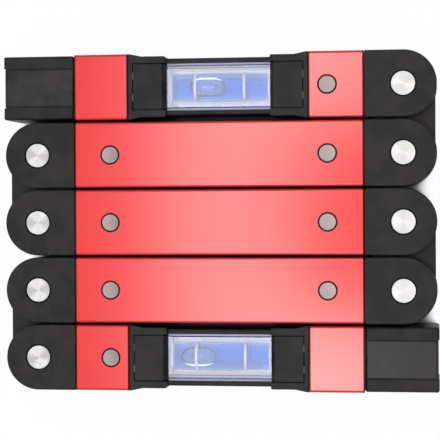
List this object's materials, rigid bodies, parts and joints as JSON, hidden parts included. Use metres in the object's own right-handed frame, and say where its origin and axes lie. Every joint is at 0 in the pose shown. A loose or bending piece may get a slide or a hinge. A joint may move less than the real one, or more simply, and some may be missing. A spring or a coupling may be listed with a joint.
{
  "type": "folding spirit level",
  "caption": "Folding spirit level: square tube arms joined in a zigzag by double-pivot hinges, with a block vial in each end arm, shown folded flat.",
  "frame": {"origin": "middle of the back face of the folded pack", "axes": "+X along the arms, +Y across the arms towards arm 1, +Z from the back face to the front face"},
  "size_m": [0.1446, 0.1118, 0.0218],
  "materials": {
    "red_anodised": "red anodised, satin, finely brushed along the arm",
    "black_plastic": "moulded, fine matt texture",
    "turned_steel": "bright, turned in fine circles",
    "rivet_steel": "dull grey",
    "nylon": "natural nylon",
    "acrylic": "clear, polished",
    "spirit": "clear blue liquid",
    "air": "bubble",
    "ring_white": "white"
  },
  "bodies": {
    "arm_1": {"end_cap_1": "black_plastic", "tube_cap_side_1": "red_anodised", "vial_housing_1": "black_plastic", "vial_clamp_cap_side_1": "black_plastic", "vial_clamp_hinge_side_1": "black_plastic", "vial_block_1": "acrylic", "vial_plug_1": "acrylic", "vial_rings_1": "ring_white", "vial_spirit_1": "spirit", "tube_hinge_side_1": "red_anodised", "hinge_fork_1": "black_plastic", "tube_rivet_1": "rivet_steel"},
    "bubble_1": {"vial_bubble_1": "air"},
    "arm_5": {"end_cap_5": "black_plastic", "tube_cap_side_5": "red_anodised", "vial_housing_5": "black_plastic", "vial_clamp_cap_side_5": "black_plastic", "vial_clamp_hinge_side_5": "black_plastic", "vial_block_5": "acrylic", "vial_plug_5": "acrylic", "vial_rings_5": "ring_white", "vial_spirit_5": "spirit", "tube_hinge_side_5": "red_anodised", "hinge_fork_5": "black_plastic", "tube_rivet_5": "rivet_steel"},
    "bubble_5": {"vial_bubble_5": "air"},
    "arm_2": {"tube_2": "red_anodised", "left_fork_2": "black_plastic", "right_fork_2": "black_plastic", "tube_rivets_2": "rivet_steel"},
    "arm_3": {"tube_3": "red_anodised", "left_fork_3": "black_plastic", "right_fork_3": "black_plastic", "tube_rivets_3": "rivet_steel"},
    "arm_4": {"tube_4": "red_anodised", "left_fork_4": "black_plastic", "right_fork_4": "black_plastic", "tube_rivets_4": "rivet_steel"},
    "link_12": {"hinge_link_12": "black_plastic", "hinge_pins_12": "turned_steel", "friction_washers_12": "nylon"},
    "link_23": {"hinge_link_23": "black_plastic", "hinge_pins_23": "turned_steel", "friction_washers_23": "nylon"},
    "link_34": {"hinge_link_34": "black_plastic", "hinge_pins_34": "turned_steel", "friction_washers_34": "nylon"},
    "link_45": {"hinge_link_45": "black_plastic", "hinge_pins_45": "turned_steel", "friction_washers_45": "nylon"}
  },
  "joints": [
    {"name": "link_23_on_arm_3", "type": "hinge", "parent": "arm_3", "child": "link_23", "pos_m": [-0.0608, 0, 0.0109], "axis": [0, 0, 1], "range_deg": [0, 90]},
    {"name": "arm_2_on_link_23", "type": "hinge", "parent": "link_23", "child": "arm_2", "pos_m": [-0.0608, 0.0225, 0.0109], "axis": [0, 0, 1], "range_deg": [0, 90]},
    {"name": "link_12_on_arm_2", "type": "hinge", "parent": "arm_2", "child": "link_12", "pos_m": [0.0608, 0.0225, 0.0109], "axis": [0, 0, -1], "range_deg": [0, 90]},
    {"name": "arm_1_on_link_12", "type": "hinge", "parent": "link_12", "child": "arm_1", "pos_m": [0.0608, 0.045, 0.0109], "axis": [0, 0, -1], "range_deg": [0, 90]},
    {"name": "link_34_on_arm_3", "type": "hinge", "parent": "arm_3", "child": "link_34", "pos_m": [0.0608, 0, 0.0109], "axis": [0, 0, 1], "range_deg": [0, 90]},
    {"name": "arm_4_on_link_34", "type": "hinge", "parent": "link_34", "child": "arm_4", "pos_m": [0.0608, -0.0225, 0.0109], "axis": [0, 0, 1], "range_deg": [0, 90]},
    {"name": "link_45_on_arm_4", "type": "hinge", "parent": "arm_4", "child": "link_45", "pos_m": [-0.0608, -0.0225, 0.0109], "axis": [0, 0, -1], "range_deg": [0, 90]},
    {"name": "arm_5_on_link_45", "type": "hinge", "parent": "link_45", "child": "arm_5", "pos_m": [-0.0608, -0.045, 0.0109], "axis": [0, 0, -1], "range_deg": [0, 90]},
    {"name": "bubble_run_1", "type": "slide", "parent": "arm_1", "child": "bubble_1", "axis": [1, 0, 0], "range_m": [-0.0048, 0.0132], "deforming": ["vial_spirit_1"]},
    {"name": "bubble_run_5", "type": "slide", "parent": "arm_5", "child": "bubble_5", "axis": [1, 0, 0], "range_m": [-0.0014, 0.0166], "deforming": ["vial_spirit_5"]}
  ]
}
